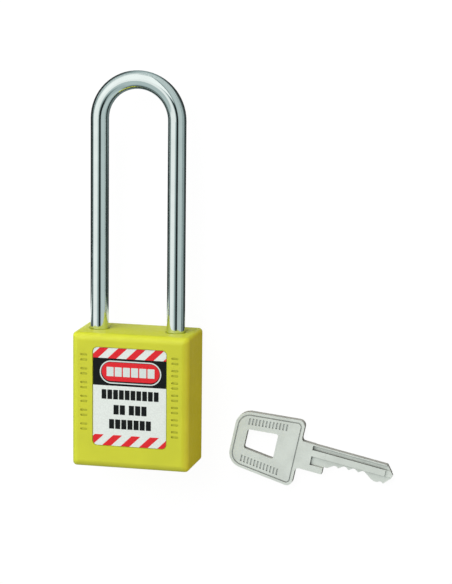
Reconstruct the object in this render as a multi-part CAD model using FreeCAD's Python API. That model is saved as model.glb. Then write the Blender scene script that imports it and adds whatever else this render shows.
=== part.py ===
# Safety lockout padlock: moulded body, long steel shackle, six-pin key cylinder, ball lock and one key.
# Millimetres.  The lock lies on its back: X is to the right, Y points along the shackle,
# Z is up, out of the front face.  The origin is the centre of the body's flat back face.
import FreeCAD, Part
import math
import os

os.makedirs("parts", exist_ok=True)
V = FreeCAD.Vector

# ---- moulded body
BODY_W, BODY_L, BODY_D = 39.5, 45.0, 20.0
CORNER_R, FRONT_R, BACK_R = 1.3, 2.4, 1.0
MID_Z = BODY_D / 2
TOP_Y, BOT_Y = BODY_L / 2, -BODY_L / 2
COVER_T = 2.2                      # bottom cover plate
PACK_Y = BOT_Y + COVER_T           # where the lock pack begins
POCKET_X0, POCKET_X1, POCKET_HZ = -8.2, 8.6, 7.4
POCKET_TOP = 20.1
# ---- shackle
ROD_R, LEG_X = 3.0, 13.0
CLEARANCE = 79.6                   # body top to the inside of the crown
BORE_R = ROD_R + 0.15
BEND_Y = TOP_Y + CLEARANCE + ROD_R - LEG_X
LIFT = 9.3
TOE_END, TOE_FLOOR = TOP_Y + 0.1 - LIFT, 10.2
HEEL_END, HEEL_HEAD_TOP, NECK_TOP, NECK_R = -10.1, -7.6, 4.3, 2.1
HEEL_PIN_R, HEEL_PIN_Y = 1.0, 3.0
# ---- labels and their recesses
LABEL_W, LABEL_H, LABEL_R, LABEL_T = 24.8, 32.75, 1.5, 0.3
LABEL_Y = 1.65
RECESS = 0.45
# ---- key cylinder
PLUG_R, PLUG_FACE, HOUSING_TOP = 4.75, BOT_Y + 0.65, 4.0
PIN_R, PIN_PITCH, PINS = 1.3, 3.15, 6
PIN_HEAD, DRIVER_FOOT, DRIVER_TOP = 4.5, 4.9, 8.95
STRIP_X = 15.1
# ---- ball lock
BALL_R, BALL_Y, BALL_X, BALL_TRAVEL = 2.5, 17.0, 8.8, 4.2
CAM_R, CAM_Y0, CAM_Y1 = 6.2, 14.0, 18.8
# ---- key, drawn along u with its bow at negative u and the blade's cuts at negative v
KEY_T, BLADE_T = 2.3, 2.2
BOW_U0, BOW_U1 = -24.85, -2.0      # the bow's two ends
BOW_V0, BOW_V1 = 9.2, 11.6         # its half height at each end
SHANK = 4.55                       # the shank's half height
KEY_STOP = 6.9                     # end of the shank, where it stops on the plug
SPINE, EDGE = 4.65, -2.1           # the blade's two long edges
FIRST_CUT = 10.7
ROOTS = [-0.69, -0.05, 0.15, 0.17, -1.8, -1.68]
MID_V = (SPINE + EDGE) / 2         # this line of the blade lies on the plug's axis
# milled grooves: v from, v to, u where it starts, upper (1) or lower (-1) face, depth
GROOVES = ((2.75, 4.25, 2.2, 1, 0.7), (EDGE - 0.3, 0.6, 2.4, 1, 0.7), (1.0, 2.3, 3.0, -1, 0.5))
KEY_AT, KEY_TURN = (55.03, -18.38), -12.0


def slab(x0, x1, y0, y1, z0, z1):
    return Part.makeBox(x1 - x0, y1 - y0, z1 - z0, V(x0, y0, z0))


def edges_along(shape, way):
    found = []
    for e in shape.Edges:
        d = e.Vertexes[-1].Point.sub(e.Vertexes[0].Point)
        if e.Curve.TypeId == "Part::GeomLine" and abs(d.normalize().dot(way)) > 0.999:
            found.append(e)
    return found


def block(x0, x1, y0, y1, z0, z1, r, way):
    """A box with its four edges along one way rounded."""
    b = slab(x0, x1, y0, y1, z0, z1)
    return b.makeFillet(r, edges_along(b, way))


def rod_y(r, y0, y1, x=0.0, z=MID_Z):
    return Part.makeCylinder(r, y1 - y0, V(x, y0, z), V(0, 1, 0))


def rod_x(r, x0, x1, y, z=MID_Z):
    return Part.makeCylinder(r, x1 - x0, V(x0, y, z), V(1, 0, 0))


def rod_z(r, z0, z1, x, y):
    return Part.makeCylinder(r, z1 - z0, V(x, y, z0), V(0, 0, 1))


def cone_y(r0, r1, y0, y1, x=0.0):
    return Part.makeCone(r0, r1, y1 - y0, V(x, y0, MID_Z), V(0, 1, 0))


def prism(points, z0, z1):
    pts = [V(x, y, z0) for x, y in points]
    return Part.Face(Part.makePolygon(pts + [pts[0]])).extrude(V(0, 0, z1 - z0))


def coil(mean_r, wire_r, length, turns):
    """A helical spring along +Z, starting at the origin, as one solid."""
    rise = length - 2 * wire_r
    pitch = rise / turns
    helix = Part.makeHelix(pitch, rise, mean_r)
    way = V(0, 2 * math.pi * mean_r, pitch).normalize()
    ring = Part.Wire(Part.makeCircle(wire_r, V(mean_r, 0, 0), way))
    body = Part.Wire(helix.Edges).makePipeShell([ring], True, True)
    body.translate(V(0, 0, wire_r))
    return body


def one(shape):
    """The clean single solid of a boolean result."""
    shape = shape.removeSplitter()
    solids = sorted(shape.Solids, key=lambda s: s.Volume)
    return solids[-1]


parts = {}

# =====================================================================  body_shell
shell = block(-BODY_W / 2, BODY_W / 2, BOT_Y, TOP_Y, 0, BODY_D, CORNER_R, V(0, 0, 1))
for r, level in ((FRONT_R, BODY_D), (BACK_R, 0)):
    shell = shell.makeFillet(r, [e for e in shell.Edges
                                 if all(abs(v.Z - level) < 1e-6 for v in e.Vertexes)])

# pocket for the lock pack, open at the bottom, and the slot beside it for the pin block
shell = shell.cut(block(POCKET_X0, POCKET_X1, PACK_Y - 1, POCKET_TOP,
                        MID_Z - POCKET_HZ, MID_Z + POCKET_HZ, 2.4, V(0, 1, 0)))
shell = shell.cut(slab(7.0, 16.2, PACK_Y - 1, HOUSING_TOP + 0.1, MID_Z - 4.1, MID_Z + 4.1))
# seat for the bottom cover, with four peg holes
shell = shell.cut(block(-16.6, 16.6, BOT_Y - 1, PACK_Y, MID_Z - 7.6, MID_Z + 7.6, 2.6, V(0, 1, 0)))
PEGS = [(sx * 12.9, MID_Z + sz * 5.75) for sx in (-1, 1) for sz in (-1, 1)]
for px, pz in PEGS:
    shell = shell.cut(rod_y(1.12, PACK_Y - 0.5, PACK_Y + 5.3, px, pz))
# shackle bores: the heel's runs to the cover, the toe's has a floor
shell = shell.cut(rod_y(BORE_R, PACK_Y - 0.5, TOP_Y + 1, -LEG_X))
shell = shell.cut(rod_y(BORE_R, TOE_FLOOR, TOP_Y + 1, LEG_X))
for sx in (-1, 1):
    shell = shell.cut(cone_y(BORE_R, BORE_R + 0.5, TOP_Y - 0.5, TOP_Y + 0.001, sx * LEG_X))
# ball window between the pocket and the toe bore
shell = shell.cut(rod_x(BALL_R + 0.1, 7.5, LEG_X, BALL_Y))
# retaining screw seat and hole in the toe bore's floor
shell = shell.cut(rod_y(2.4, 8.2, TOE_FLOOR + 0.1, LEG_X))
shell = shell.cut(rod_y(1.35, HOUSING_TOP - 0.5, 8.3, LEG_X))
# cross hole for the heel pin
HEEL_PIN_X = -(LEG_X - NECK_R - HEEL_PIN_R - 0.05)
shell = shell.cut(rod_z(HEEL_PIN_R + 0.01, -1, BODY_D + 1, HEEL_PIN_X, HEEL_PIN_Y))
# shallow label recesses: the front label lies a little low, the back one is flush
for z0, z1 in ((BODY_D - RECESS, BODY_D + 1), (-1, LABEL_T)):
    shell = shell.cut(block(-LABEL_W / 2 - 0.2, LABEL_W / 2 + 0.2, LABEL_Y - LABEL_H / 2 - 0.2,
                            LABEL_Y + LABEL_H / 2 + 0.2, z0, z1, LABEL_R + 0.2, V(0, 0, 1)))
# engraved rib marks: six down the left margin, seven down the right
RIB_W, RIB_H, RIB_DEEP = 2.3, 0.66, 0.28
for mx, top, step, count in ((-15.5, 14.54, 4.65, 6), (15.3, 14.83, 4.09, 7)):
    for i in range(count):
        for off in (-0.85, 0.85):
            cy = top - step * i + off
            shell = shell.cut(block(mx - RIB_W / 2, mx + RIB_W / 2, cy - RIB_H / 2, cy + RIB_H / 2,
                                    BODY_D - RIB_DEEP, BODY_D + 1, 0.28, V(0, 0, 1)))
parts["body_shell"] = one(shell)

# =====================================================================  bottom_cover
cover = block(-16.5, 16.5, BOT_Y, PACK_Y, MID_Z - 7.5, MID_Z + 7.5, 2.5, V(0, 1, 0))
for px, pz in PEGS:
    cover = cover.fuse(rod_y(1.1, PACK_Y - 0.2, PACK_Y + 5.0, px, pz))
cover = cover.cut(rod_y(PLUG_R + 0.1, BOT_Y - 1, PACK_Y + 1))
cover = cover.cut(cone_y(PLUG_R + 0.6, PLUG_R + 0.1, BOT_Y - 0.001, BOT_Y + 0.5))
parts["bottom_cover"] = one(cover)

# =====================================================================  cylinder_housing
H0, H1 = PACK_Y + 0.05, HOUSING_TOP
house = block(POCKET_X0 + 0.1, POCKET_X1 - 0.1, H0, H1,
              MID_Z - POCKET_HZ + 0.1, MID_Z + POCKET_HZ - 0.1, 2.3, V(0, 1, 0))
house = house.fuse(slab(6.0, 16.0, H0, H1, MID_Z - 3.95, MID_Z + 3.95))
house = house.cut(rod_y(PLUG_R + 0.05, H0 - 1, H1 + 1))
house = house.cut(rod_y(5.6, H0 - 1, H0 + 0.7))               # flange seat
FIRST_PIN_Y = PLUG_FACE + FIRST_CUT - KEY_STOP
PIN_YS = [FIRST_PIN_Y + PIN_PITCH * i for i in range(PINS)]
for y in PIN_YS:
    house = house.cut(rod_x(PIN_R + 0.05, 3.0, STRIP_X + 0.1, y))
house = house.cut(slab(STRIP_X, 17, H0 - 1, -0.2, MID_Z - 2.2, MID_Z + 2.2))
house = house.cut(rod_y(1.25, 0.2, H1 + 1, LEG_X))            # tapped hole for the screw
parts["cylinder_housing"] = one(house)

# =====================================================================  chamber_cover
parts["chamber_cover"] = slab(STRIP_X + 0.05, 15.95, H0 + 0.05, -0.25, MID_Z - 2.1, MID_Z + 2.1)

# =====================================================================  plug
plug = rod_y(PLUG_R, PLUG_FACE, HOUSING_TOP)
plug = plug.fuse(rod_y(5.5, H0 + 0.05, H0 + 0.6))
plug = plug.fuse(rod_y(3.0, HOUSING_TOP - 0.1, 5.4))
plug = plug.fuse(slab(-2.6, 2.6, 5.3, 8.4, MID_Z - 1.1, MID_Z + 1.1))
plug = plug.cut(rod_y(3.5, 4.12, 4.88).cut(rod_y(2.5, 4.0, 5.0)))   # clip groove
GAP = 0.12                                     # play round the blade in its keyway
HALF_WAY = (SPINE - EDGE) / 2 + GAP
way = slab(-HALF_WAY, HALF_WAY, PLUG_FACE - 1, 2.4, MID_Z - BLADE_T / 2 - 0.1, MID_Z + BLADE_T / 2 + 0.1)
for v0, v1, u0, side, deep in GROOVES:         # a ward stands in each of the blade's grooves
    z0, z1 = sorted((MID_Z + side * (BLADE_T / 2 - deep + GAP), MID_Z + side * BLADE_T))
    way = way.cut(slab(MID_V - v1 + GAP, MID_V - v0 - GAP, PLUG_FACE - 2, 3.0, z0, z1))
plug = plug.cut(way)
for y in PIN_YS:
    plug = plug.cut(rod_x(PIN_R + 0.05, -0.9, 6.0, y))
plug = plug.cut(cone_y(4.2, 3.9, PLUG_FACE - 0.001, PLUG_FACE + 0.25).cut(
    rod_y(3.95, PLUG_FACE - 1, PLUG_FACE + 1)))
parts["plug"] = one(plug)

# =====================================================================  plug_clip
clip = rod_y(5.8, 4.15, 4.85).cut(rod_y(2.55, 4.0, 5.0))
clip = clip.cut(slab(-2.0, 2.0, 4.0, 5.0, MID_Z - 7, MID_Z))
for sx in (-1, 1):
    clip = clip.cut(rod_y(1.1, 4.0, 5.0, sx * 4.0, MID_Z + 1.2))
parts["plug_clip"] = one(clip)

# =====================================================================  pin stacks
for i, y in enumerate(PIN_YS):
    root = MID_V - ROOTS[i]                    # how far the cut lies from the plug's axis
    tip = 0.75
    key_pin = rod_x(PIN_R, root + tip, PIN_HEAD, y)
    key_pin = key_pin.fuse(Part.makeCone(0.5, PIN_R, tip, V(root, y, MID_Z), V(1, 0, 0)))
    parts["key_pin_%d" % (i + 1)] = one(key_pin)

    driver = rod_x(PIN_R, DRIVER_FOOT, DRIVER_TOP, y)
    driver = driver.cut(rod_x(PIN_R + 1, 6.2, 7.6, y).cut(rod_x(0.9, 6.0, 8.0, y)))
    parts["driver_pin_%d" % (i + 1)] = one(driver)

    spring = coil(0.95, 0.16, STRIP_X - DRIVER_TOP - 0.1, 7)
    spring.rotate(V(0, 0, 0), V(0, 1, 0), 90)
    spring.translate(V(DRIVER_TOP + 0.05, y, MID_Z))
    parts["pin_spring_%d" % (i + 1)] = spring

# =====================================================================  locking_cam
# A quarter turn of the cam lets the ball in by BALL_TRAVEL.  The recess follows the ball's
# centre, which comes nearer the axis by the same amount for every degree turned.
cam = rod_y(CAM_R, CAM_Y0, CAM_Y1)
cam = cam.fuse(rod_y(3.45, 5.6, CAM_Y0 + 0.1))
cam = cam.fuse(rod_y(1.7, CAM_Y1 - 0.1, POCKET_TOP - 0.15))
cam = cam.cut(slab(-4, 4, 5.0, 8.6, MID_Z - 1.2, MID_Z + 1.2))
STEPS = 12
track = []
for k in range(STEPS + 1):
    a = math.pi / 2 * k / STEPS
    rho = BALL_X - BALL_TRAVEL * k / STEPS
    track.append(V(rho * math.cos(a), BALL_Y, MID_Z + rho * math.sin(a)))
spline = Part.BSplineCurve()
spline.interpolate(track)
start = spline.tangent(spline.FirstParameter)[0]
ring = Part.Wire(Part.makeCircle(BALL_R + 0.1, track[0], start))
scoop = Part.Wire(spline.toShape()).makePipeShell([ring], True, False)
cam = cam.cut(scoop)
cam = cam.cut(Part.makeSphere(BALL_R + 0.1, track[-1]))
parts["locking_cam"] = one(cam)

# =====================================================================  ball_cage
cage = block(POCKET_X0 + 0.1, POCKET_X1 - 0.1, HOUSING_TOP + 0.05, POCKET_TOP - 0.05,
             MID_Z - POCKET_HZ + 0.1, MID_Z + POCKET_HZ - 0.1, 2.3, V(0, 1, 0))
cage = cage.cut(rod_y(6.2, 3.0, 8.9))
cage = cage.cut(rod_y(3.55, 3.0, CAM_Y0))
cage = cage.cut(rod_y(CAM_R + 0.1, CAM_Y0 - 0.1, 21))
cage = cage.cut(rod_x(BALL_R + 0.1, 3.0, 9.0, BALL_Y))
parts["ball_cage"] = one(cage)

parts["locking_ball"] = Part.makeSphere(BALL_R, V(BALL_X, BALL_Y, MID_Z))

# =====================================================================  shackle
bend = Part.Face(Part.Wire(Part.makeCircle(ROD_R, V(-LEG_X, BEND_Y, MID_Z), V(0, 1, 0))))
bow = bend.revolve(V(0, BEND_Y, MID_Z), V(0, 0, 1), -180)
loop = bow.fuse([rod_y(ROD_R, NECK_TOP, BEND_Y, -LEG_X),
                 rod_y(NECK_R, HEEL_HEAD_TOP - 0.1, NECK_TOP + 0.1, -LEG_X),
                 rod_y(ROD_R, HEEL_END + 0.5, HEEL_HEAD_TOP, -LEG_X),
                 cone_y(ROD_R - 0.5, ROD_R, HEEL_END, HEEL_END + 0.5, -LEG_X),
                 rod_y(ROD_R, TOE_END + 0.6, BEND_Y, LEG_X),
                 cone_y(ROD_R - 0.6, ROD_R, TOE_END, TOE_END + 0.6, LEG_X)])
# ball notch: the ball leaves it inwards while the shackle rises
leave = V(-BALL_TRAVEL, -LIFT, 0).normalize()
loop = loop.cut(Part.makeSphere(BALL_R + 0.1, V(BALL_X, BALL_Y, MID_Z)))
loop = loop.cut(Part.makeCylinder(BALL_R + 0.1, 14, V(BALL_X, BALL_Y, MID_Z), leave))
parts["shackle"] = one(loop)

parts["heel_pin"] = rod_z(HEEL_PIN_R, LABEL_T + 0.1, BODY_D - RECESS - 0.1, HEEL_PIN_X, HEEL_PIN_Y)

spring = coil(2.35, 0.35, HEEL_END - PACK_Y - 0.15, 6.5)
spring.rotate(V(0, 0, 0), V(1, 0, 0), -90)
spring.translate(V(-LEG_X, PACK_Y + 0.05, MID_Z))
parts["shackle_spring"] = spring

# =====================================================================  retaining_screw
screw = rod_y(2.25, 8.25, 9.7, LEG_X).fuse(rod_y(1.2, 0.6, 8.3, LEG_X))
screw = screw.cut(slab(LEG_X - 3, LEG_X + 3, 9.1, 10, MID_Z - 0.35, MID_Z + 0.35))
screw = screw.cut(slab(LEG_X - 0.35, LEG_X + 0.35, 9.1, 10, MID_Z - 3, MID_Z + 3))
parts["retaining_screw"] = one(screw)

# =====================================================================  labels
for name, z0 in (("label_front", BODY_D - RECESS), ("label_back", 0.0)):
    parts[name] = block(-LABEL_W / 2, LABEL_W / 2, LABEL_Y - LABEL_H / 2, LABEL_Y + LABEL_H / 2,
                        z0, z0 + LABEL_T, LABEL_R, V(0, 0, 1))

# =====================================================================  key
def bow_plate(inset, z0, z1, r_out, r_in):
    """The bow's tapered outline, or one inside it, as a plate with rounded corners."""
    u0, u1 = BOW_U0 + inset, BOW_U1 - inset
    grow = (BOW_V1 - BOW_V0) / (BOW_U1 - BOW_U0)
    v0 = BOW_V0 + grow * inset - inset
    v1 = BOW_V1 - grow * inset - inset
    p = prism([(u0, -v0), (u1, -v1), (u1, v1), (u0, v0)], z0, z1)
    p = p.makeFillet(r_out, [e for e in edges_along(p, V(0, 0, 1)) if e.Vertexes[0].X < u0 + 1])
    return p.makeFillet(r_in, [e for e in edges_along(p, V(0, 0, 1)) if e.Vertexes[0].X > u1 - 1])


key = bow_plate(0.0, 0, KEY_T, 5.0, 2.0)
key = key.fuse(prism([(-3, -SHANK), (KEY_STOP, -SHANK), (KEY_STOP, SPINE - 0.3), (2.9, SPINE),
                      (2.4, SPINE + 0.1), (-3, SPINE + 0.1)], 0, KEY_T))
# hollow fillets where the bow meets the shank
WEB_R = 1.4
for side in (1, -1):
    low, high = sorted((side * SHANK, side * (SHANK + WEB_R)))
    web = slab(BOW_U1, BOW_U1 + WEB_R, low, high, 0, KEY_T)
    key = key.fuse(web.cut(rod_z(WEB_R, -1, KEY_T + 1, BOW_U1 + WEB_R, side * (SHANK + WEB_R))))
BZ0 = (KEY_T - BLADE_T) / 2
BZ1 = BZ0 + BLADE_T
TIP_U = 27.4                       # the point begins here
blade = prism([(0, EDGE), (TIP_U, EDGE), (29.6, 0.3), (29.95, 1.6), (TIP_U, SPINE), (0, SPINE)], BZ0, BZ1)
FLAT, SLOPE = 0.4, 0.7
for i, root in enumerate(ROOTS):
    u = FIRST_CUT + PIN_PITCH * i
    low = EDGE - 0.6
    run = FLAT + (root - low) / SLOPE
    blade = blade.cut(prism([(u - run, low), (u + run, low), (u + FLAT, root), (u - FLAT, root)],
                            -1, KEY_T + 1))
blade = blade.cut(slab(TIP_U, 31, -4, 6, BZ1 - 0.45, KEY_T + 1))
key = key.fuse(blade)
for v0, v1, u0, side, deep in GROOVES:
    z0, z1 = sorted((BZ1 - deep, KEY_T + 1)) if side > 0 else (-1, BZ0 + deep)
    key = key.cut(slab(u0, 31, v0, v1, z0, z1))
# ring hole
hole = prism([(-20.4, -2.9), (-10.0, -3.95), (-10.0, 4.75), (-20.4, 3.7)], -1, KEY_T + 1)
key = key.cut(hole.makeFillet(0.7, edges_along(hole, V(0, 0, 1))))
# border line and two rows of short engraved strokes along it, on both faces of the bow
INSET, LINE, DEEP = 0.85, 0.4, 0.26
STROKES, STROKE_W, STROKE_H, STROKE_STEP = 12, 0.5, 2.2, 1.15
for z0, z1 in ((KEY_T - DEEP, KEY_T + 1), (-1, DEEP)):
    ring = bow_plate(INSET, z0, z1, 4.2, 1.4)
    key = key.cut(ring.cut(bow_plate(INSET + LINE, z0 - 1, z1 + 1, 3.9, 1.1)))
    for side in (1, -1):
        for k in range(STROKES):
            u = -20.6 + STROKE_STEP * k
            v = side * (6.45 + 0.105 * STROKE_STEP * k)
            key = key.cut(slab(u, u + STROKE_W, v - STROKE_H / 2, v + STROKE_H / 2, z0, z1))
key = one(key)
key.rotate(V(0, 0, 0), V(0, 0, 1), KEY_TURN)
key.translate(V(KEY_AT[0], KEY_AT[1], 0))
parts["key"] = key

# =====================================================================  write the files
for name, shape in parts.items():
    if not shape.isValid() or len(shape.Solids) != 1:
        print("CHECK", name, shape.isValid(), len(shape.Solids))
    shape.exportStep(os.path.join("parts", name + ".step"))
    bb = shape.BoundBox
    print("%-18s vol %8.1f  x %7.2f %7.2f  y %7.2f %7.2f  z %6.2f %6.2f" % (
        name, shape.Volume, bb.XMin, bb.XMax, bb.YMin, bb.YMax, bb.ZMin, bb.ZMax))
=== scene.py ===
import math

import bmesh
import bpy
from mathutils import Matrix, Vector


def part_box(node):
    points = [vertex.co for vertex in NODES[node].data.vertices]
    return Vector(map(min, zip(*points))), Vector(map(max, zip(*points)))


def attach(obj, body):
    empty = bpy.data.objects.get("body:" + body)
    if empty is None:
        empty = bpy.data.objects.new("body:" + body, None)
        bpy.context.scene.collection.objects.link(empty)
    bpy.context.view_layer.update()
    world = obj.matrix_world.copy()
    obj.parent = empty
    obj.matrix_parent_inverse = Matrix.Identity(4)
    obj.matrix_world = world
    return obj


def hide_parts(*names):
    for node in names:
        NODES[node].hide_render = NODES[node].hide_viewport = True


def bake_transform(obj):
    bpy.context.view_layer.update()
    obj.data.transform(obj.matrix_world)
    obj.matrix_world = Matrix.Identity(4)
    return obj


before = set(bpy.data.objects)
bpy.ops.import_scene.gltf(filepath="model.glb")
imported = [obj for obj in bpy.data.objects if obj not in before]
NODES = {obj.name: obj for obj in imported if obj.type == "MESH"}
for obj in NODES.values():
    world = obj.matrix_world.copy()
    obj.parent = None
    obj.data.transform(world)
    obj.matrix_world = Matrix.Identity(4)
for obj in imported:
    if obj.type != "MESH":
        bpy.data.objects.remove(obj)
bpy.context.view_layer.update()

MM = 0.001
X, Y, Z = range(3)

# The share of open sky over a groove's darkest part, and over its edge, for the painted shade in grooves
GROOVE_DEEP, GROOVE_OPEN = 0.30, 0.78
# Two tones of reflected grey, and the share of the tone that red, green and blue have at each
DIM, BRIGHT = 0.3, 1.0
TINTS = ((0.78, 0.965), (1.0, 1.0), (1.01, 0.995))


# ---------------------------------------------------------------- node helpers
class Graph:
    """A material or world node tree with short ways to add and join nodes."""

    def __init__(self, tree):
        self.tree = tree
        tree.nodes.clear()

    def add(self, kind, **settings):
        node = self.tree.nodes.new(kind)
        for key, value in settings.items():
            setattr(node, key, value)
        return node

    def join(self, out, into):
        self.tree.links.new(out, into)

    def put(self, socket, value):
        """Joins another node's output to a socket, or sets the socket to a fixed value."""
        if isinstance(value, bpy.types.NodeSocket):
            self.join(value, socket)
        else:
            socket.default_value = value

    def math(self, op, a, b=0.0):
        node = self.add("ShaderNodeMath", operation=op)
        for socket, value in zip(node.inputs, (a, b)):
            self.put(socket, value)
        return node.outputs[0]

    def span(self, value, low, high, to_low=0.0, to_high=1.0):
        """A smooth ramp: to_low where value is at or under low, to_high where it is at or over high."""
        node = self.add("ShaderNodeMapRange", interpolation_type="SMOOTHSTEP", clamp=True)
        for socket, v in zip(node.inputs, (value, low, high, to_low, to_high)):
            self.put(socket, v)
        return node.outputs[0]

    def blend(self, factor, a, b):
        """Colour a where factor is 0, colour b where it is 1."""
        node = self.add("ShaderNodeMix", data_type="RGBA")
        self.put(node.inputs["Factor"], factor)
        self.put(node.inputs["A"], a)
        self.put(node.inputs["B"], b)
        return node.outputs["Result"]

    def place(self, scale=(1, 1, 1), turn=0.0):
        """Object coordinates, stretched and turned about Z."""
        coord = self.add("ShaderNodeTexCoord")
        node = self.add("ShaderNodeMapping")
        node.inputs["Scale"].default_value = scale
        node.inputs["Rotation"].default_value = (0, 0, turn)
        self.join(coord.outputs["Object"], node.inputs["Vector"])
        return node.outputs[0]

    def noise(self, where, scale, detail=3.0, rough=0.5):
        node = self.add("ShaderNodeTexNoise")
        self.join(where, node.inputs["Vector"])
        node.inputs["Scale"].default_value = scale
        node.inputs["Detail"].default_value = detail
        node.inputs["Roughness"].default_value = rough
        return node.outputs["Fac"]

    def bump(self, height, strength, distance):
        node = self.add("ShaderNodeBump")
        self.join(height, node.inputs["Height"])
        node.inputs["Strength"].default_value = strength
        node.inputs["Distance"].default_value = distance
        return node.outputs["Normal"]

    def painted_cavity_shade(self, reach, deepest_shade):
        """Painted shade: 1 on open surfaces, down to the given deepest tone in grooves and corners about
        as wide as reach.
        """
        node = self.add("ShaderNodeAmbientOcclusion", samples=12, only_local=True)
        node.inputs["Distance"].default_value = reach
        return self.span(node.outputs["AO"], GROOVE_DEEP, GROOVE_OPEN, deepest_shade, 1.0)

    def shade(self, colour, factor):
        """A colour times a grey value."""
        node = self.add("ShaderNodeMix", data_type="RGBA", blend_type="MULTIPLY")
        node.inputs["Factor"].default_value = 1.0
        self.put(node.inputs["A"], colour)
        self.put(node.inputs["B"], factor)
        return node.outputs["Result"]

    def tint(self, value):
        """A grey value as a colour: white cards are neutral, and darker ones a little sea green."""
        node = self.add("ShaderNodeCombineColor")
        for socket, (dim, bright) in zip(node.inputs, TINTS):
            self.join(self.math("MULTIPLY", value, self.span(value, DIM, BRIGHT, dim, bright)), socket)
        return node.outputs[0]


def new_material(name):
    """A material with one principled shader: the material, its graph and that shader."""
    mat = bpy.data.materials.new(name)
    mat.use_nodes = True
    g = Graph(mat.node_tree)
    shader = g.add("ShaderNodeBsdfPrincipled")
    g.join(shader.outputs[0], g.add("ShaderNodeOutputMaterial").inputs["Surface"])
    return mat, g, shader


def scaled(colour, factor):
    """A colour made lighter or darker, as far as full brightness."""
    return tuple(min(1.0, part * factor) for part in colour)


def paint(names, mat):
    """Gives CAD nodes a material in all their slots."""
    for name in names:
        for slot in NODES[name].material_slots:
            slot.material = mat


# ---------------------------------------------------------------- materials
def moulded_plastic(name, colour):
    """Satin moulded nylon: a fine spark-eroded texture and a faint mottle in its tone."""
    mat, g, shader = new_material(name)
    where = g.place()
    mottle = g.noise(where, scale=90.0, detail=4.0)
    tone = g.blend(g.span(mottle, 0.3, 0.7), (*scaled(colour, 0.965), 1), (*scaled(colour, 1.03), 1))
    # painted shade: the colour darkens in grooves and corners
    g.join(g.shade(tone, g.painted_cavity_shade(reach=0.9 * MM, deepest_shade=0.62)), shader.inputs["Base Color"])
    satin = g.noise(where, scale=700.0)
    g.join(g.span(satin, 0.3, 0.7, 0.36, 0.46), shader.inputs["Roughness"])
    eroded = g.noise(where, scale=5200.0, detail=2.0)
    g.join(g.bump(eroded, strength=0.10, distance=0.06 * MM), shader.inputs["Normal"])
    shader.inputs["Subsurface Weight"].default_value = 0.06
    shader.inputs["Subsurface Radius"].default_value = (0.6, 0.5, 0.1)
    shader.inputs["Subsurface Scale"].default_value = 1.2 * MM
    shader.inputs["Specular IOR Level"].default_value = 0.42
    return mat


def metal(name, colour, rough, along=(1, 1, 1), turn=0.0, lines=0.0, spots=0.0, scale=900.0,
          groove_shade=1.0, blasted=0.0):
    """Metal with brushing along one way (lines) and a fine grain or tarnish (spots).  Its grooves get
    painted shade, down to the tone given for them, and a blasted surface scatters some of the light
    evenly."""
    mat, g, shader = new_material(name)
    shader.inputs["Metallic"].default_value = 1.0 - blasted
    where = g.place(along, turn)
    brushed = g.noise(where, scale, rough=0.6)
    tarnish = g.noise(g.place(), scale=160.0, detail=4.0)
    dark = scaled(colour, 0.94 - 0.25 * spots)
    shown = g.blend(g.span(tarnish, 0.25, 0.75), (*dark, 1), (*colour, 1))
    if groove_shade < 1.0:
        shown = g.shade(shown, g.painted_cavity_shade(reach=2.6 * MM, deepest_shade=groove_shade))
    g.join(shown, shader.inputs["Base Color"])
    g.join(g.span(brushed, 0.25, 0.75, rough * 0.85, rough * 1.2), shader.inputs["Roughness"])
    g.join(g.bump(brushed, strength=lines, distance=0.03 * MM), shader.inputs["Normal"])
    return mat


def print_ink(name, colour, rough=0.3):
    """Ink under a clear film, with a little unevenness in its density."""
    mat, g, shader = new_material(name)
    speck = g.noise(g.place(), scale=2600.0, detail=2.0)
    light = tuple(part + 0.004 for part in scaled(colour, 1.04))
    tone = g.blend(g.span(speck, 0.3, 0.7), (*scaled(colour, 0.95), 1), (*light, 1))
    g.join(tone, shader.inputs["Base Color"])
    film = g.noise(g.place(), scale=300.0)
    g.join(g.span(film, 0.3, 0.7, rough * 0.85, rough * 1.15), shader.inputs["Roughness"])
    shader.inputs["Specular IOR Level"].default_value = 0.12
    return mat


YELLOW = (0.560, 0.606, 0.031)
body_plastic = moulded_plastic("body_plastic", YELLOW)
cover_plastic = moulded_plastic("cover_plastic", scaled(YELLOW, 0.96))
chrome = metal("shackle_chrome", (0.80, 0.85, 0.83), 0.075, (1.0, 0.02, 1.0), lines=0.05, scale=2600.0)
brass = metal("housing_brass", (0.76, 0.56, 0.26), 0.34, (0.1, 1.0, 1.0), lines=0.12, spots=0.6)
plug_brass = metal("plug_brass", (0.83, 0.57, 0.20), 0.32, lines=0.10, spots=0.5, blasted=0.12)
pin_brass = metal("pin_brass", (0.82, 0.65, 0.36), 0.22, (0.1, 1.0, 1.0), lines=0.06, spots=0.3)
steel = metal("cage_steel", (0.56, 0.57, 0.58), 0.36, lines=0.10, spots=0.5)
spring_steel = metal("spring_steel", (0.52, 0.53, 0.54), 0.30, lines=0.05, spots=0.4)
ball_steel = metal("ball_steel", (0.78, 0.79, 0.80), 0.08)
# the key's colour gets strong painted shade in its grooves
nickel = metal("key_nickel", (0.93, 0.955, 0.885), 0.40, (0.5, 1.0, 1.0), math.radians(12.0),
               lines=0.22, spots=0.25, scale=2200.0, groove_shade=0.13, blasted=0.45)
INK_WHITE = print_ink("ink_white", (0.705, 0.790, 0.750))
INK_BLACK = print_ink("ink_black", (0.0055, 0.0075, 0.0075), 0.26)
INK_RED = print_ink("ink_red", (0.760, 0.026, 0.034))
INK_GREY = print_ink("ink_grey", (0.24, 0.26, 0.26))

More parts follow.
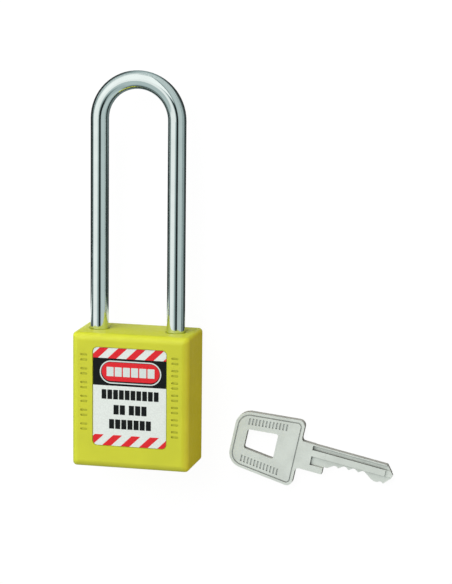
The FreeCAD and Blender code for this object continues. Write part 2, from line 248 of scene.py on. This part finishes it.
paint(["body_shell"], body_plastic)
paint(["bottom_cover"], cover_plastic)
paint(["shackle"], chrome)
paint(["cylinder_housing", "chamber_cover"], brass)
paint(["plug"], plug_brass)
paint([n for n in NODES if n.startswith(("key_pin", "driver_pin"))], pin_brass)
paint(["ball_cage", "locking_cam", "heel_pin", "retaining_screw"], steel)
paint(["plug_clip", "shackle_spring"] + [n for n in NODES if n.startswith("pin_spring")], spring_steel)
paint(["locking_ball"], ball_steel)
paint(["key"], nickel)
paint(["label_front", "label_back"], INK_WHITE)


# ---------------------------------------------------------------- label print
# Lengths on a label are in millimetres, from its lower left corner as it is read.
LABEL_R = 1.5
LABEL_LOW, LABEL_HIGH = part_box("label_front")
LABEL_W = (LABEL_HIGH[X] - LABEL_LOW[X]) / MM
LABEL_H = (LABEL_HIGH[Y] - LABEL_LOW[Y]) / MM
BAND_TOP, HEADER, BAND_BOTTOM = 3.45, 9.1, 3.6   # heights of the striped bands and the black header
INK, SUNK = 0.02, 0.01                           # height of one layer of print, and its depth in the film


def arc(cx, cy, r, start, end, steps=8):
    """Points on an arc, angles in quarter turns."""
    turns = [start + (end - start) * k / steps for k in range(steps + 1)]
    return [(cx + r * math.cos(t * math.pi / 2), cy + r * math.sin(t * math.pi / 2)) for t in turns]


def round_box(x0, x1, y0, y1, r, steps=8):
    """The outline of a rectangle with rounded corners."""
    return (arc(x0 + r, y0 + r, r, 2, 3, steps) + arc(x1 - r, y0 + r, r, 3, 4, steps)
            + arc(x1 - r, y1 - r, r, 0, 1, steps) + arc(x0 + r, y1 - r, r, 1, 2, steps))


def clip(points, window):
    """The part of a polygon inside a convex window, both anticlockwise."""
    for (ax, ay), (bx, by) in zip(window, window[1:] + window[:1]):
        kept = []
        side = [(bx - ax) * (y - ay) - (by - ay) * (x - ax) for x, y in points]
        for i, (p, s) in enumerate(zip(points, side)):
            q, t = points[i - 1], side[i - 1]
            if (s >= 0) != (t >= 0):
                f = t / (t - s)
                kept.append((q[0] + f * (p[0] - q[0]), q[1] + f * (p[1] - q[1])))
            if s >= 0:
                kept.append(p)
        points = kept
        if not points:
            return []
    return points


def tidy_loop(points, gap=1e-4):
    """Drops points that fall on the one before."""
    return [p for i, p in enumerate(points) if math.dist(p, points[i - 1]) > gap]


def printed(name, shapes, mat, layer, label="label_front", face=1):
    """One colour of a label's print: thin solids that stand that many layers of ink high on the film, on
    its front face or, with face -1, on its back."""
    low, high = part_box(label)
    base = high[Z] if face > 0 else low[Z]
    bm = bmesh.new()
    for shape in shapes:
        loop = tidy_loop(shape)
        if len(loop) < 3:
            continue
        rings = []
        for z in (-SUNK, INK * layer):
            rings.append([bm.verts.new((low[X] + x * MM if face > 0 else high[X] - x * MM,
                                        low[Y] + y * MM, base + face * z * MM)) for x, y in loop])
        under, over = rings
        bm.faces.new(list(reversed(under)))
        bm.faces.new(over)
        for i in range(len(loop)):
            bm.faces.new((under[i - 1], under[i], over[i], over[i - 1]))
    bmesh.ops.recalc_face_normals(bm, faces=bm.faces)
    mesh = bpy.data.meshes.new(name)
    bm.to_mesh(mesh)
    bm.free()
    mesh.materials.append(mat)
    obj = bpy.data.objects.new(name, mesh)
    bpy.context.scene.collection.objects.link(obj)
    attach(obj, "case")


def ticks(cx, cy, width, height, groups, gap=0.36, space=1.3, r=0.12):
    """A row of plain upright blocks, in groups, as wide as a line of print, centred on cx and cy."""
    count = sum(groups)
    room = width - space * (len(groups) - 1) - gap * (count - len(groups))
    each = room / count
    x = cx - width / 2
    out = []
    for size in groups:
        for _ in range(size):
            out.append(round_box(x, x + each, cy - height / 2, cy + height / 2, r, 3))
            x += each + gap
        x += space - gap
    return out


def stripes(y0, y1, first, pitch=6.25, wide=2.98, lean=1.05):
    """Slanting bars across the band from y0 to y1, cut to the label's rounded outline.  The first has
    its lower left corner at first."""
    outline = round_box(0, LABEL_W, 0, LABEL_H, LABEL_R)
    shift = lean * (y1 - y0)
    out = []
    x = first
    while x < LABEL_W:
        bar = [(x, y0), (x + wide, y0), (x + wide + shift, y1), (x + shift, y1)]
        out.append(clip(bar, outline))
        x += pitch
    return [bar for bar in out if bar]


HEAD_Y0 = LABEL_H - BAND_TOP - HEADER
HEAD_Y1 = LABEL_H - BAND_TOP
MID_X, HEAD_MID = LABEL_W / 2, (HEAD_Y0 + HEAD_Y1) / 2


def stadium(width, height, dx, dy):
    """An outline with half-round ends, dx and dy off the header's middle."""
    radius = height / 2 - 0.001                  # leaves a short flat, so that no two points meet
    return round_box(MID_X + dx - width / 2, MID_X + dx + width / 2,
                     HEAD_MID + dy - height / 2, HEAD_MID + dy + height / 2, radius, 14)


printed("print_stripes_bottom", stripes(0.0, BAND_BOTTOM, -3.1), INK_RED, 1)
printed("print_stripes_top", stripes(HEAD_Y1, LABEL_H, -1.3), INK_RED, 1)
printed("print_header", [[(0, HEAD_Y0), (LABEL_W, HEAD_Y0), (LABEL_W, HEAD_Y1), (0, HEAD_Y1)]],
        INK_BLACK, 1)

# the header's badge, from the lowest layer up: a white line, a black gap and the red middle, with their
# width and height and how far they sit right of and above the header's middle
BADGE = [("print_badge_line", (20.8, 7.7), (0.3, 0.0), INK_WHITE),
         ("print_badge_gap", (20.0, 6.9), (0.3, 0.0), INK_BLACK),
         ("print_badge", (19.6, 6.3), (0.35, 0.15), INK_RED)]
for layer, (name, size, shift, ink) in enumerate(BADGE, start=2):
    printed(name, [stadium(*size, *shift)], ink, layer)
right, up = BADGE[-1][2]
printed("print_badge_row", ticks(MID_X + right, HEAD_MID + up, 16.2, 3.1, (6,), 0.42), INK_WHITE, 5)

# the three rows under the header: their width, the blocks in each group, and their middle's drop from
# the label's top
ROWS = [(19.3, (10,), 15.5), (11.2, (2, 3), 20.55), (14.2, (7,), 25.4)]
ROW_SHIFT, ROW_HEIGHT = 0.2, 3.2
for number, (width, groups, drop) in enumerate(ROWS, start=1):
    printed("print_row_%d" % number, ticks(MID_X + ROW_SHIFT, LABEL_H - drop, width, ROW_HEIGHT, groups),
            INK_BLACK, 1)

# the back label: four write-on lines
LINE_INSET, LINE_WIDE, LINE_FIRST, LINE_PITCH = 2.4, 0.25, 6.0, 5.5
back_lines = []
for number in range(4):
    y = LINE_FIRST + number * LINE_PITCH
    back_lines.append(round_box(LINE_INSET, LABEL_W - LINE_INSET, y, y + LINE_WIDE, 0.1, 3))
printed("back_print_lines", back_lines, INK_GREY, 0.4, "label_back", -1)


# ---------------------------------------------------------------- springs
def working_spring(node, moving_end):
    """A copy of the coil of a CAD spring, in the spring's place, shown while the spring is hidden.  The
    moving end, the low or the high one along its axis, is not used."""
    coil = bpy.data.objects.new(node + "_coil", NODES[node].data.copy())
    bpy.context.scene.collection.objects.link(coil)
    ends = list(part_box(node))
    if moving_end == "low":
        ends.reverse()
    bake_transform(coil)
    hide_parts(node)


working_spring("shackle_spring", "high")
for number in range(1, 7):
    working_spring("pin_spring_%d" % number, "low")


# ---------------------------------------------------------------- studio
def product(g, factors):
    """All the values multiplied together."""
    result = factors[0]
    for factor in factors[1:]:
        result = g.math("MULTIPLY", result, factor)
    return result


def brightest(g, tones, lowest=0.0):
    """The highest of the values, and at least lowest."""
    result = lowest
    for tone in tones:
        result = g.math("MAXIMUM", result, tone)
    return result


def window(g, value, low, high, soft_low, soft_high):
    """1 between two angles in degrees, fading to 0 over a soft edge at each end."""
    low, high, soft_low, soft_high = (math.radians(a) for a in (low, high, soft_low, soft_high))
    return product(g, [g.span(value, low - soft_low, low + soft_low),
                       g.span(value, high - soft_high, high + soft_high, 1.0, 0.0)])


# Light cards round the table, in degrees from straight up: the span towards +X with the softness
# of its two edges, the span towards +Y with its two, and the strength.
CARDS = [((-74, 2, 14, 9), (-10, 76, 8, 8), 1.00),       # large white card, left
         ((-60, 24, 10, 4), (12, 76, 4, 8), 1.10),       # the white card's far part, wider
         ((-80, 2, 8, 9), (-70, -8, 22, 4), 0.58),       # grey card, near left
         ((29, 93, 6, 24), (-88, 88, 2, 2), 0.63),       # grey card, right
         ((-20, 60, 10, 10), (-76, -30, 14, 9), 0.50),   # grey card, near right
         ((-74, -34, 14, 10), (40, 90, 4, 5), 1.00),     # the white card's far left corner
         ((-88, 88, 2, 2), (74, 95, 6, 5), 0.72)]        # pale far edge of the table
SLANT = 0.25                    # how far the cards' near edges run askew
GAP_GLOW = 0.012                # tone between the cards
AMBIENT_LEFT, AMBIENT_RIGHT = 0.672, 0.27        # broad light on all that isn't a mirror, from either side
BACKDROP = (0.98, 0.98, 0.98, 1)


def studio_world():
    """White and grey light cards for the mirrors, soft even light for the rest, and a pale backdrop."""
    world = bpy.data.worlds.new("studio")
    bpy.context.scene.world = world
    world.use_nodes = True
    g = Graph(world.node_tree)
    axes = g.add("ShaderNodeSeparateXYZ")
    g.join(g.add("ShaderNodeTexCoord").outputs["Generated"], axes.inputs[0])
    x, y, z = axes.outputs
    lean_x = g.math("ARCTAN2", x, z)
    askew = g.math("MULTIPLY", g.math("MINIMUM", x, 0.0), SLANT)
    lean_y = g.math("ARCTAN2", g.math("SUBTRACT", y, askew), z)
    cards = [product(g, [window(g, lean_x, *across), window(g, lean_y, *along), strength])
             for across, along, strength in CARDS]
    mirrored = g.tint(brightest(g, cards, GAP_GLOW))
    even = g.add("ShaderNodeCombineColor")
    for socket in even.inputs:
        g.join(g.span(x, -0.3, 0.8, AMBIENT_LEFT, AMBIENT_RIGHT), socket)
    ray = g.add("ShaderNodeLightPath").outputs
    tone = g.blend(ray["Is Glossy Ray"], even.outputs[0], mirrored)
    tone = g.blend(ray["Is Camera Ray"], tone, BACKDROP)
    back = g.add("ShaderNodeBackground")
    g.join(tone, back.inputs["Color"])
    g.join(back.outputs[0], g.add("ShaderNodeOutputWorld").inputs["Surface"])


def mirrored_tone(g):
    """How bright the table looks in gloss, as a colour: painted shade round the shackle's left, and
    painted lighter patches, which the lock's gloss shows as painted reflections.  Each patch is a product
    of ramps over x, its distance
    from the middle, or y: where the ramp starts and ends, in millimetres, and its values there."""
    axes = g.add("ShaderNodeSeparateXYZ")
    g.join(g.add("ShaderNodeTexCoord").outputs["Object"], axes.inputs[0])
    x, y, _ = axes.outputs
    off_middle = g.math("ABSOLUTE", x)
    right, crown = (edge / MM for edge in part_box("shackle")[1][:2])
    patches = [
        # right of the shackle, lighter farther out, with painted shade close to the leg
        [(x, right, right + 60, 0.03, 0.52), (y, -4, 22, 0.0, 1.0)],
        # beyond the crown, dimmer on the left
        [(y, crown, crown + 20, 0.0, 0.65), (x, -20, 0, 0.20, 1.0)],
        # farther beyond the crown, on both sides
        [(y, crown + 10, crown + 50, 0.0, 0.60)],
        # between the legs, lighter near the crown
        [(off_middle, 4, 11, 1.0, 0.0), (y, 60, 92, 0.10, 0.32)],
        # a narrow strip along the body's top
        [(y, 20, 22, 0.0, 1.0), (y, 24, 29, 1.0, 0.0), (x, 19, 21, 1.0, 0.0)],
        # in front of the body
        [(y, -45, -23, 0.45, 0.0), (x, 16, 26, 1.0, 0.0)],
        # close to the body's right side, lighter near its top: a painted sheen for that side
        [(y, -20, 15, 0.03, 0.16), (x, 28, 36, 1.0, 0.0), (y, 18, 22, 1.0, 0.0)]]
    tones = [product(g, [g.span(where, start * MM, end * MM, first, last)
                         for where, start, end, first, last in ramps]) for ramps in patches]
    return g.tint(brightest(g, tones))


def floor():
    """Plain pale table, which lights the lock's sides a little from below."""
    half = 3000 * MM
    z = -0.06 * MM                               # clear of the print on the back label
    mesh = bpy.data.meshes.new("floor")
    mesh.from_pydata([(-half, -half, z), (half, -half, z), (half, half, z), (-half, half, z)],
                     [], [(0, 1, 2, 3)])
    obj = bpy.data.objects.new("floor", mesh)
    bpy.context.scene.collection.objects.link(obj)
    mat = bpy.data.materials.new("floor")
    mat.use_nodes = True
    g = Graph(mat.node_tree)

    def lit(colour, glow):
        """A diffuse surface with a glow of its own."""
        pale = g.add("ShaderNodeBsdfDiffuse")
        g.put(pale.inputs["Color"], colour)
        lift = g.add("ShaderNodeEmission")
        lift.inputs["Color"].default_value = (*glow, 1)
        both = g.add("ShaderNodeAddShader")
        g.join(pale.outputs[0], both.inputs[0])
        g.join(lift.outputs[0], both.inputs[1])
        return both.outputs[0]

    def pick(test, no, yes):
        """One surface for the rays that pass a test, and another for the rest."""
        node = g.add("ShaderNodeMixShader")
        for socket, source in zip(node.inputs, (test, no, yes)):
            g.join(source, socket)
        return node.outputs[0]

    ray = g.add("ShaderNodeLightPath").outputs
    seen = lit((0.09, 0.09, 0.09, 1), glow=(0.94, 0.94, 0.94))
    bounce = lit((0.20, 0.19, 0.17, 1), glow=(0.10, 0.08, 0.06))
    # in gloss the table shows painted shade and painted lighter patches, seen as painted reflections
    mirrored = lit(mirrored_tone(g), glow=(0.004, 0.004, 0.004))
    shown = pick(ray["Is Glossy Ray"], pick(ray["Is Camera Ray"], bounce, seen), mirrored)
    g.join(shown, g.add("ShaderNodeOutputMaterial").inputs["Surface"])
    mesh.materials.append(mat)


def soft_light(name, where, size, watts, colour=(1, 1, 1), aim=(0.02, 0.03, 0.01), only=()):
    """A round soft light that lights surfaces but isn't mirrored in them.  It reaches all objects, or only
    the ones given."""
    data = bpy.data.lights.new(name, "AREA")
    data.shape = "DISK"
    data.size = size
    data.energy = watts
    data.color = colour
    obj = bpy.data.objects.new(name, data)
    bpy.context.scene.collection.objects.link(obj)
    obj.location = where
    obj.rotation_euler = (Vector(aim) - Vector(where)).to_track_quat("-Z", "Y").to_euler()
    obj.visible_camera = False
    obj.visible_glossy = False
    if only:
        reached = bpy.data.collections.new(name + "_reaches")
        for one in only:
            reached.objects.link(one)
        obj.light_linking.receiver_collection = reached


def camera():
    """Looks down on the table from a little to the right and a little above the lock."""
    azimuth, lift, roll = math.radians(13.18), math.radians(10.52), math.radians(0.59)
    target = Vector((29.76, 36.76, 10.0)) * MM
    distance = 846.8 * MM
    lens, sensor = 160.274, 36.0                 # in millimetres
    away = Vector((math.sin(azimuth) * math.cos(lift), math.sin(lift),
                   math.cos(azimuth) * math.cos(lift)))
    right = Vector((0, 1, 0)).cross(away).normalized()
    up = away.cross(right)
    right, up = (math.cos(roll) * right + math.sin(roll) * up,
                 math.cos(roll) * up - math.sin(roll) * right)
    data = bpy.data.cameras.new("camera")
    data.sensor_fit = "AUTO"
    data.sensor_width = sensor
    data.lens = lens
    data.clip_start = 0.01
    data.clip_end = 20.0
    obj = bpy.data.objects.new("camera", data)
    bpy.context.scene.collection.objects.link(obj)
    spin = Matrix((right, up, away)).transposed().to_4x4()
    obj.matrix_world = Matrix.Translation(target + away * distance) @ spin
    bpy.context.scene.camera = obj


studio_world()
floor()
soft_light("overhead", where=(-0.42, 0.75, 0.9), size=0.9, watts=4.7)
soft_light("far_fill", where=(-0.1, 1.2, 0.3), size=0.7, watts=8.0, colour=(1.0, 0.96, 0.96))
soft_light("left_fill", where=(-0.25, 0.05, 0.13), size=0.15, watts=0.22, aim=(0.0, 0.0, 0.02))
soft_light("warm_fill", where=(1.0, -0.1, 0.35), size=0.7, watts=4.9, colour=(1.0, 0.63, 0.56),
           only=[obj for name, obj in NODES.items() if name != "key"])
camera()

view = bpy.context.scene.view_settings
view.view_transform = "Standard"
view.look = "None"
view.exposure = 0.0
view.gamma = 1.0
